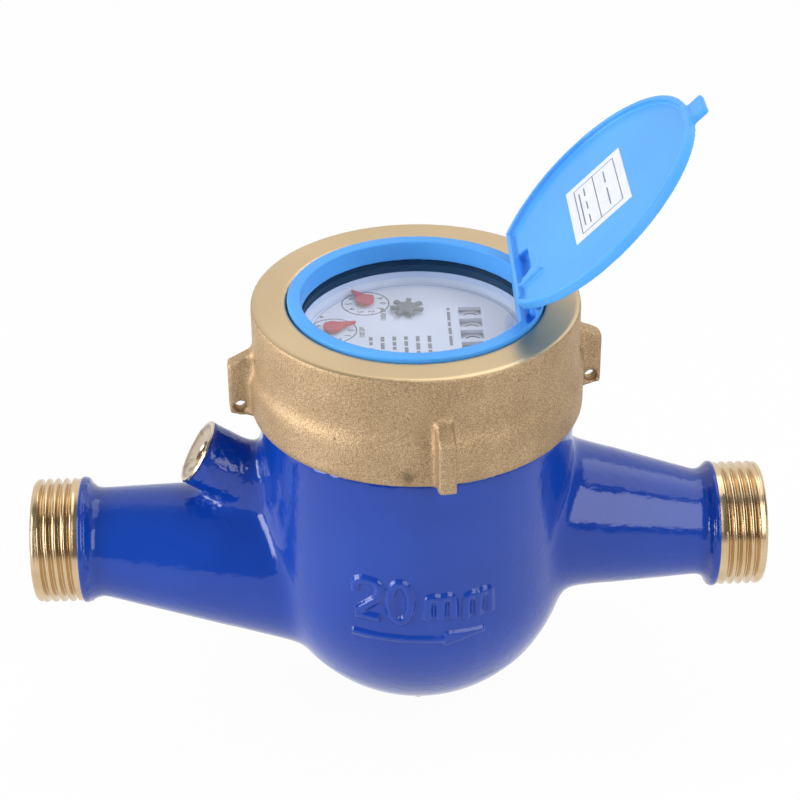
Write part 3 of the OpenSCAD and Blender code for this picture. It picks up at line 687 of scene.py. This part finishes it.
collar_r = thread_r + 0.33 * mm
collar_section = [(collar_r - 1.0 * mm, 0.0), (collar_r - 0.35 * mm, 0.0), (collar_r - 0.1 * mm, 0.1 * mm),
                  (collar_r, 0.35 * mm), (collar_r, 0.9 * mm), (collar_r - 0.2 * mm, 1.4 * mm),
                  (collar_r - 0.9 * mm, 2.0 * mm), (collar_r - 1.0 * mm, 2.0 * mm)]
for name, x, way in (("inlet_collar", thread_len, 1.0), ("outlet_collar", pipe_end - thread_len, -1.0)):
    bm = bmesh.new()
    spin_section(bm, collar_section, Vector((x, 0, 0)), Vector((way, 0, 0)), 128)
    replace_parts(finish_piece(bm, name, "housing", enamel, sharp=60), "body")

# %% Boss face dish
hole_r = 3.45 * mm
boss_r = 9.0 * mm
dish_r = boss_r - 1.2 * mm
dish_section = [(hole_r, -6 * mm), (hole_r, -1.75 * mm), (hole_r + 0.3 * mm, -1.35 * mm),
                (dish_r - 0.2 * mm, 0.02 * mm), (dish_r + 0.15 * mm, 0.12 * mm),
                (boss_r - 0.45 * mm, 0.12 * mm), (boss_r - 0.05 * mm, -0.3 * mm),
                (boss_r - 1.0 * mm, -0.8 * mm), (hole_r + 0.6 * mm, -2.4 * mm),
                (hole_r + 0.6 * mm, -6 * mm)]
bm = bmesh.new()
spin_section(bm, dish_section, boss_face, boss_out, 72)
finish_piece(bm, "boss_face", "housing", smudged_and_shaded, sharp=30)

# %% [markdown]
# ## Raised size mark and flow arrow
# The pipe size and the flow arrow are raised in the casting and lie under the paint. Each stroke is
# a curve with a round bevel, laid on the bowl. A thin curved slab, just under the skin of the bowl,
# joins the strokes: one voxel remesh merges them all, and smoothing gives each stroke a soft foot.


# %% Strokes laid on the bowl
def on_bowl(u, z, out=0.0):
    """A point on the front of the bowl, u along the pipe from the meter axis, in mm."""
    drop = min(0.0, z * mm - bowl_z)
    y = -math.sqrt((bowl_r + out * mm) ** 2 - (u * mm) ** 2 - drop ** 2)
    return Vector((axis_x + u * mm, y, z * mm))


def bead_mesh(strokes, width, sink):
    """Round beads along strokes, each a list of points and whether it is closed. Sizes are in mm."""
    curve = bpy.data.curves.new("beads", "CURVE")
    curve.dimensions = "3D"
    curve.bevel_depth = width * mm / 2
    curve.bevel_resolution = 4
    curve.use_fill_caps = True
    for stroke, closed in strokes:
        spline = curve.splines.new("POLY")
        spline.points.add(len(stroke) - 1)
        for point, (u, z) in zip(spline.points, stroke):
            point.co = (*on_bowl(u, z, -sink), 1.0)
        spline.use_cyclic_u = closed
    return curve_mesh(curve)


def rounded(points, times=3):
    """Corner cutting: turns a few points into a smooth stroke and keeps its two ends."""
    for _ in range(times):
        out = [points[0]]
        for (ua, za), (ub, zb) in zip(points, points[1:]):
            out += [(0.75 * ua + 0.25 * ub, 0.75 * za + 0.25 * zb),
                    (0.25 * ua + 0.75 * ub, 0.25 * za + 0.75 * zb)]
        points = out + [points[-1]]
    return points


def evenly(points, count=14):
    """A straight stroke split up, so that it follows the round bowl."""
    (ua, za), (ub, zb) = points
    return [(ua + (ub - ua) * k / count, za + (zb - za) * k / count) for k in range(count + 1)]


# %% The strokes of the size and of the arrow
two = rounded([(-17.0, 8.0), (-16.9, 11.2), (-14.0, 12.1), (-10.9, 11.2), (-10.7, 7.2), (-14.0, 4.3),
               (-16.6, 1.6)])
two_foot = evenly([(-17.0, 0.9), (-10.7, 0.5)])
zero = [(-5.8 + 2.6 * math.cos(math.radians(a)), 6.0 + 5.9 * math.sin(math.radians(a)))
        for a in range(0, 360, 10)]


def letter_m(u, z, wide, tall, rise):
    """Two arches side by side, the second one starting inside the first, with a slope to the right."""
    half = wide / 2
    slope = rise / wide
    first = [(0, 0), (0, tall), (half * 0.5, tall * 1.13), (half, tall), (half, 0)]
    second = [(half + 0.2, tall * 0.45), (half + 0.2, tall), (half * 1.5, tall * 1.13), (wide, tall),
              (wide, 0)]
    return [(rounded([(u + a, z + b + a * slope) for a, b in part]), False) for part in (first, second)]


size_strokes = [(two, False), (two_foot, False), (zero, True)]
size_strokes += letter_m(1.0, 0.4, 6.6, 6.4, 0.0) + letter_m(10.8, -0.2, 6.2, 6.5, 0.6)
shaft = [(evenly([(-18.0, -5.0), (5.2, -5.8)], 20), False)]
head_rows = [(evenly([(5.6, -4.3 - 0.66 * k), (15.6 - 1.9 * k, -4.7 - 0.48 * k)], 12), False)
             for k in range(6)]
print(len(size_strokes), "strokes in the size,", len(head_rows), "rows in the arrow head")


# %% One soft relief from all strokes
slab_depths = (0.14 * mm, 1.3 * mm)
slab_levels = 12
relief_voxel = 0.3 * mm


def relief_piece(name, beads, low_z, high_z, u_low, u_high):
    """Joins beads and a slab under the bowl's skin into one solid with soft feet."""
    slab = bmesh.new()
    section = []
    for depth, order in zip(slab_depths, (1, -1)):
        r = bowl_r - depth
        levels = [low_z + (high_z - low_z) * k / slab_levels for k in range(slab_levels + 1)][::order]
        section += [(math.sqrt(r * r - min(0.0, z * mm - bowl_z) ** 2), z * mm) for z in levels]
    first = math.atan2(u_low * mm, bowl_r)
    sweep = math.atan2(u_high * mm, bowl_r) - first
    loop = [slab.verts.new((axis_x + r * math.sin(first), -r * math.cos(first), z)) for r, z in section]
    edges = [slab.edges.new(pair) for pair in zip(loop, loop[1:] + loop[:1])]
    bmesh.ops.spin(slab, geom=loop + edges, cent=(axis_x, 0, 0), axis=(0, 0, 1), angle=sweep, steps=40)
    bmesh.ops.edgeloop_fill(slab, edges=[e for e in slab.edges if e.is_boundary])
    bmesh.ops.recalc_face_normals(slab, faces=slab.faces)
    for mesh in beads:
        join_mesh(slab, mesh)
    slab = remeshed(slab, relief_voxel)
    smooth(slab, list(slab.verts), 3)
    finish_piece(slab, name, "housing", enamel, sharp=70, recalc=False)


size_beads = [bead_mesh(size_strokes, width=2.9, sink=0.55)]
relief_piece("size_mark", size_beads, low_z=-2.0, high_z=15.0, u_low=-21.0, u_high=22.5)
arrow_beads = [bead_mesh(shaft, width=2.4, sink=0.5), bead_mesh(head_rows, width=1.6, sink=0.1)]
relief_piece("flow_arrow", arrow_beads, low_z=-9.6, high_z=-2.6, u_low=-21.0, u_high=19.5)

# %% [markdown]
# ## The cap ring
# Sand casting leaves no sharp edges on the sides and lugs, so the ring gets the same treatment as the
# body: an even net and a little smoothing. There is more of it at the foot of each lug and along the
# step half way up the side, and least at the top, which is turned.

# %% Soft cap ring
ring_voxel = 0.55 * mm
ring_out = 42.0 * mm
turned_z = ring_high.z - 1.2 * mm
lug_top_z = ring_high.z - 4 * mm
step_z = ring_low.z + 0.42 * (ring_high.z - ring_low.z)
ring = remeshed(merged_copy("cap_ring"), ring_voxel)
smooth(ring, [v for v in ring.verts if v.co.z < turned_z], 4)
smooth(ring, [v for v in ring.verts if v.co.z >= turned_z], 1)
lug_foot = [v for v in ring.verts if v.co.z < lug_top_z
            and ring_out - 0.5 * mm < off_axis(v.co) < ring_out + 3.0 * mm]
smooth(ring, lug_foot, 5)
on_step = [v for v in ring.verts if abs(v.co.z - step_z) < 2.8 * mm
           and off_axis(v.co) < ring_out + 2.0 * mm]
smooth(ring, on_step, 12)
ring_piece = finish_piece(ring, "cap_ring_cast", "housing", cast, sharp=60, recalc=False)
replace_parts(ring_piece, "cap_ring")

# %% [markdown]
# ## Lid and frame
# Both are glossy blue mouldings with a small radius on every edge, which is what catches the light.
# A bevel needs clean faces, and a CAD copy has long thin triangles. A fine voxel net and two rounds
# of smoothing give every edge of the copy that radius instead.

# %% Rounded mouldings
moulding_voxel = 0.36 * mm
for node, name, body in (("lid_frame", "lid_frame_moulded", "housing"), ("lid", "lid_moulded", "lid")):
    bm = remeshed(merged_copy(node), moulding_voxel)
    smooth(bm, list(bm.verts), 2)
    piece = finish_piece(bm, name, body, finish["blue_plastic"], sharp=50, recalc=False)
    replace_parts(piece, node)

# %% [markdown]
# ## Print on the dial
# Printed marks are thin solids, a few hundredths of a millimetre high, so that they keep a clean edge
# at any size: rings, plain numbers, and plain bars for lines of print. An image would blur close by. A
# number is a text object that becomes a mesh first, and only then is put in its place.


# %% Print helpers
ink = 0.04 * mm
reads = -math.pi / 2  # the print is read with the hinge at the top
capital = 0.72  # height of a number as a share of the text's size


def on_dial(x, y, turn=0.0):
    """A place in the middle of the ink, from the meter axis, in mm."""
    lies = Matrix.Translation((axis_x + x * mm, y * mm, dial_top + ink / 2))
    return lies @ Matrix.Rotation(turn, 4, "Z")


def print_bar(bm, x, y, long, wide, turn):
    size = Matrix.Diagonal((long * mm, wide * mm, ink, 1.0))
    bmesh.ops.create_cube(bm, size=1.0, matrix=on_dial(x, y, turn) @ size)


def print_ring(bm, x, y, radius, wide):
    r = radius * mm
    w = wide * mm / 2
    centre = Vector((axis_x + x * mm, y * mm, dial_top))
    section = [(r - w, 0.0), (r + w, 0.0), (r + w, ink), (r - w, ink)]
    spin_section(bm, section, centre, Vector((0, 0, 1)), 64)


def word_mesh(word, height):
    """A word as a thin solid, centred, lying flat, with its height in mm."""
    curve = bpy.data.curves.new("word", "FONT")
    curve.body = word
    curve.align_x = "CENTER"
    curve.align_y = "CENTER"
    curve.size = height * mm / capital
    curve.extrude = ink / 2
    curve.resolution_u = 3
    return curve_mesh(curve)


def print_word(bm, word, height, x, y, turn):
    mesh = word_mesh(word, height)
    mesh.transform(on_dial(x, y, turn))
    join_mesh(bm, mesh)


# %% Sub-dials with ten numbers each
factors = ("x0.0001", "x0.001", "x0.01", "x0.1")
circle_r, tick_r, number_r, factor_r = 6.2, 5.9, 4.55, 7.6  # in mm, as all print is
tenth = math.radians(36)
scale_marks = bmesh.new()
for k, factor in enumerate(factors, start=1):
    hub = joint_at[f"hand_{k}_spin"]
    x, y = (hub.x - axis_x) / mm, hub.y / mm
    print_ring(scale_marks, x, y, circle_r, wide=0.28)
    for digit in range(10):
        angle = reads + math.pi / 2 - digit * tenth
        ux, uy = math.cos(angle), math.sin(angle)
        print_word(scale_marks, str(digit), 1.6, x + number_r * ux, y + number_r * uy, reads)
        print_bar(scale_marks, x + tick_r * ux, y + tick_r * uy, 0.55, 0.16, angle)
    out = Vector((x, y)).normalized()
    print_word(scale_marks, factor, 1.5, x - factor_r * out.x, y - factor_r * out.y, reads)
finish_piece(scale_marks, "dial_scales", "housing", finish["print"], sharp=20)


# %% Plain bars for lines of print
def print_line(bm, x, start, lengths, wide, gap):
    """A line of bars with gaps between them, which runs in the reading direction."""
    along = start
    for long in lengths:
        print_bar(bm, x, along - long / 2, long, wide, reads)
        along -= long + gap


rows = ((3.2, 2.6, 2.0, 2.2), (2.8, 3.4, 1.8), (1.8, 2.4, 2.8), (2.0, 1.8, 1.4), (2.4, 3.2), (1.8, 1.6))
bars = bmesh.new()
for row, lengths in enumerate(rows):
    print_line(bars, 3.4 - 3.0 * row, -0.4, lengths, wide=0.95, gap=0.7)
print_line(bars, 8.9, 14.0, (1.2, 4.6, 2.2, 3.4, 5.0), wide=0.8, gap=0.8)
finish_piece(bars, "dial_bars", "housing", finish["faint_print"], sharp=20)

# %% Fine ring near the rim and a dot
rim_marks = bmesh.new()
print_ring(rim_marks, 0.0, 0.0, 27.2, wide=0.14)
dot_r = 0.5 * mm
bmesh.ops.create_cone(rim_marks, cap_ends=True, segments=24, radius1=dot_r, radius2=dot_r, depth=ink,
                      matrix=on_dial(-24.2, 10.8))
finish_piece(rim_marks, "dial_rim_marks", "housing", finish["faint_print"], sharp=20)

# %% [markdown]
# ## The flow star
# The small star turns as soon as water moves. Its seven arms are blunt, so they are drawn out of every
# second side of a fourteen-sided hub, widened a little at the tip, given the thickness of the CAD star
# and rounded with a bevel.

# %% Star with blunt arms
star_low, star_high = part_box("star")
star_centre = Vector((joint_at["star_spin"].x, joint_at["star_spin"].y, star_low.z))
star_r = (star_high.x - star_low.x) / 2
hub_r = 0.54 * star_r
arm_len = 0.95 * star_r - hub_r
tip_flare = (1.3, 1.3, 1.0)


def way_out(edge):
    """The direction from the star's centre to the middle of an edge."""
    return (edge.verts[0].co + edge.verts[1].co) / 2 - star_centre


star = bmesh.new()
lies = Matrix.Translation(star_centre) @ Matrix.Rotation(math.radians(4), 4, "Z")
bmesh.ops.create_circle(star, cap_ends=True, radius=hub_r, segments=14, matrix=lies)
hub_sides = sorted(star.edges, key=lambda e: math.atan2(way_out(e).y, way_out(e).x))
for side in hub_sides[::2]:
    arm = way_out(side).normalized() * arm_len
    drawn = bmesh.ops.extrude_edge_only(star, edges=[side])["geom"]
    tips = [g for g in drawn if isinstance(g, bmesh.types.BMVert)]
    bmesh.ops.translate(star, verts=tips, vec=arm)
    tip_middle = (tips[0].co + tips[1].co) / 2
    bmesh.ops.scale(star, verts=tips, vec=tip_flare, space=Matrix.Translation(-tip_middle))
print("star with", len(hub_sides[::2]), "arms")

# %% Thickness and rounded edges of the star
raised = bmesh.ops.extrude_face_region(star, geom=list(star.faces))["geom"]
star_top = [g for g in raised if isinstance(g, bmesh.types.BMVert)]
bmesh.ops.translate(star, verts=star_top, vec=(0, 0, star_high.z - star_low.z))
bmesh.ops.remove_doubles(star, verts=star.verts, dist=1e-7)
bmesh.ops.recalc_face_normals(star, faces=star.faces)
rims = [e for e in star.edges if len(e.link_faces) == 2 and e.calc_face_angle() > 0.6]
bmesh.ops.bevel(star, geom=rims, offset=0.12 * mm, affect="EDGES", segments=2, profile=0.5, material=-1)
star_piece = finish_piece(star, "star_blunt", "star_wheel", finish["grey_plastic"])
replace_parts(star_piece, "star")

# %% [markdown]
# ## Numbers on the drums
# Five drums show the volume through the windows. Each number is a flat text mesh that is bent round
# its drum: the height of a point on the number becomes an angle. Cuts across it let it bend. The
# numbers ride on their drum, so they turn with it.

# %% Drum numbers
drum_low, drum_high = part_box("drum_1")
drum_r = (drum_high.z - drum_low.z) / 2
number_height = 4.4  # mm
slice_step = 0.5 * mm


def bent_number(digit, centre):
    """A number's mesh, sliced and bent round a drum at the place of its digit."""
    flat = bmesh.new()
    join_mesh(flat, word_mesh(str(digit), number_height))
    for level in range(-4, 5):
        geom = list(flat.verts) + list(flat.edges) + list(flat.faces)
        bmesh.ops.bisect_plane(flat, geom=geom, dist=1e-8, plane_co=(0, level * slice_step, 0),
                               plane_no=(0, 1, 0))
    for v in flat.verts:
        angle = v.co.y / drum_r - digit * tenth
        r = drum_r + v.co.z + ink / 2
        v.co = centre + Vector((r * math.sin(angle), -v.co.x, r * math.cos(angle)))
    mesh = bpy.data.meshes.new("number")
    flat.to_mesh(mesh)
    flat.free()
    return mesh


for k in range(1, 6):
    low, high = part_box(f"drum_{k}")
    wheel = bmesh.new()
    for digit in range(10):
        join_mesh(wheel, bent_number(digit, (low + high) / 2))
    finish_piece(wheel, f"drum_numbers_{k}", f"drum_{k}", finish["print"], sharp=20)

# %% [markdown]
# ## Label in the lid
# The paper label has a ruled table. Its lines are thin bars on the paper. They are placed with the
# lid shut and then swung open by the same turn as the CAD lid, so they stay on the paper.

# %% Ruled label
hinge = joint_at["lid_hinge"]
lid_swing = math.radians(135)
swing = Matrix.Translation(hinge) @ Matrix.Rotation(lid_swing, 4, "Y") @ Matrix.Translation(-hinge)
label_shut = [swing.inverted() @ v.co for v in nodes["lid_label"].data.vertices]
label_under = min(p.z for p in label_shut)
mid_x = (min(p.x for p in label_shut) + max(p.x for p in label_shut)) / 2


def label_bar(bm, x, y, long_x, long_y):
    """A thin bar on the paper, from its middle, in mm."""
    place = (swing @ Matrix.Translation((mid_x + x * mm, y * mm, label_under - ink / 2))
             @ Matrix.Diagonal((long_x * mm, long_y * mm, ink, 1.0)))
    bmesh.ops.create_cube(bm, size=1.0, matrix=place)


lines = bmesh.new()
for x in (-6.6, 0.4, 6.6):
    label_bar(lines, x, 0.0, 0.25, 23.0)
for y in (-11.5, 11.5):
    label_bar(lines, 0.0, y, 13.2, 0.25)
for x, y, long in ((3.6, -7.2, 4.2), (3.6, 0.0, 4.0), (3.6, 7.2, 4.2), (5.3, 0.0, 17.0),
                   (-3.0, -4.5, 9.0), (-3.0, 6.0, 6.0)):
    label_bar(lines, x, y, 0.35, long)
finish_piece(lines, "label_lines", "lid", finish["faint_print"], sharp=20)

# %% [markdown]
# ## Floor, light and camera
# The floor is plain and pale. Camera, glossy and transmission rays see it and the backdrop as white,
# and the floor keeps some of its lit colour, so the meter's soft shadow shows. The room behind the
# camera is darker for reflections, as a studio is. Large soft boxes at the right, above and at the
# left give the long bands on the enamel.


# %% Pale floor
def seen_rays(tree):
    """Two masks: camera rays alone, and camera, glossy and transmission rays together."""
    rays = tree.nodes.new("ShaderNodeLightPath")
    seen = math_in(tree, "MAXIMUM", rays.outputs["Is Camera Ray"], rays.outputs["Is Glossy Ray"])
    seen = math_in(tree, "MAXIMUM", seen, rays.outputs["Is Transmission Ray"])
    return rays.outputs["Is Camera Ray"], seen


white_share = 0.96  # the rest of the floor's look is its lit colour, with the shadow
floor_mat, tree, bsdf = new_material("Pale floor")
tone = use_group(tree, mottle, Light=(0.86, 0.86, 0.87), Dark=(0.83, 0.83, 0.84), Scale=6.0)
tree.links.new(tone.outputs["Color"], bsdf.inputs["Base Color"])
bsdf.inputs["Roughness"].default_value = 0.9
bsdf.inputs["Specular IOR Level"].default_value = 0.1
seen = seen_rays(tree)[1]
glow = tree.nodes.new("ShaderNodeEmission")
mix_to_surface(tree, math_in(tree, "MULTIPLY", seen, white_share), bsdf.outputs[0], glow.outputs[0])

ground = bmesh.new()
floor_z = cad_low.z - 0.2 * mm
bmesh.ops.create_grid(ground, x_segments=2, y_segments=2, size=6.0,
                      matrix=Matrix.Translation((axis_x, 0, floor_z)))
floor_mesh = bpy.data.meshes.new("floor")
ground.to_mesh(floor_mesh)
ground.free()
floor_mesh.materials.append(floor_mat)
floor = bpy.data.objects.new("floor", floor_mesh)
bpy.context.scene.collection.objects.link(floor)
floor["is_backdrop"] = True
print("floor at", round(floor_z, 5))

# %% White surroundings
room_light = 0.35  # what lights the meter from all round
dark_side = 0.2  # what reflections see behind the camera
world = bpy.data.worlds.new("White room")
bpy.context.scene.world = world
world.use_nodes = True
tree = world.node_tree
sky = tree.nodes["Background"]
by_camera, seen = seen_rays(tree)
way = tree.nodes.new("ShaderNodeSeparateXYZ")
tree.links.new(tree.nodes.new("ShaderNodeTexCoord").outputs["Generated"], way.inputs[0])
backdrop = math_in(tree, "MAXIMUM", by_camera, band_in(tree, way.outputs["Y"], 0.12, 0.6))
white = math_in(tree, "MULTIPLY", seen, spread(tree, backdrop, dark_side, 1.0))
plain = math_in(tree, "MULTIPLY", math_in(tree, "SUBTRACT", 1.0, seen), room_light)
tree.links.new(math_in(tree, "ADD", white, plain), sky.inputs["Strength"])
sky.inputs["Color"].default_value = (1, 1, 1, 1)
print("world", world.name)


# %% Soft boxes
def soft_box(name, place, aim, wide, tall, power):
    """A rectangular lamp that faces aim, with its width level along the pipe."""
    lamp = bpy.data.lights.new(name, "AREA")
    lamp.shape = "RECTANGLE"
    lamp.size = wide
    lamp.size_y = tall
    lamp.energy = power
    box = bpy.data.objects.new(name, lamp)
    box.location = place
    shine = (Vector(place) - Vector(aim)).normalized()
    across = (Vector((1, 0, 0)) - shine * shine.x).normalized()
    box.rotation_mode = "QUATERNION"
    box.rotation_quaternion = Matrix((across, shine.cross(across), shine)).transposed().to_quaternion()
    bpy.context.scene.collection.objects.link(box)
    print(name, power, "W")


middle = (axis_x, 0.0, 0.02)
soft_box("right_box", (axis_x + 0.56, -0.60, 0.54), middle, wide=0.62, tall=0.88, power=5.5)
soft_box("top_box", (axis_x + 0.36, 0.30, 0.86), middle, wide=0.85, tall=0.8, power=3.3)
soft_box("left_box", (axis_x - 0.85, -0.22, 0.28), middle, wide=0.5, tall=0.7, power=8.0)

# %% Camera at the viewing angle of the photograph
turn_z, tilt, roll = (math.radians(a) for a in (-1.43, 31.27, -0.68))
aim = Vector((98.23, 0.0, 41.52)) * mm
camera_distance = 567.49 * mm
back = Vector((math.sin(turn_z) * math.cos(tilt), -math.cos(turn_z) * math.cos(tilt), math.sin(tilt)))
level = (-back).cross(Vector((0, 0, 1))).normalized()
upright = level.cross(-back)
right = math.cos(roll) * level + math.sin(roll) * upright
up = math.cos(roll) * upright - math.sin(roll) * level
camera_data = bpy.data.cameras.new("camera")
camera_data.sensor_width = 36.0
camera_data.lens = 97.78
camera_data.clip_start, camera_data.clip_end = 0.01, 20.0
camera = bpy.data.objects.new("camera", camera_data)
turned_to = Matrix((right, up, back)).transposed().to_4x4()
camera.matrix_world = Matrix.Translation(aim + back * camera_distance) @ turned_to
bpy.context.scene.collection.objects.link(camera)
bpy.context.scene.camera = camera
bpy.context.scene.view_settings.view_transform = "Standard"
print("camera at", [round(v, 4) for v in camera.matrix_world.translation])

# %% [markdown]
# ## Sizes
# The CAD box is printed near the top, and the box of the dressed model is printed here. The dressed
# model has to stay in the CAD box.

# %% Sizes and finish
low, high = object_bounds()
print("visual box", [round(v, 4) for v in low], [round(v, 4) for v in high])
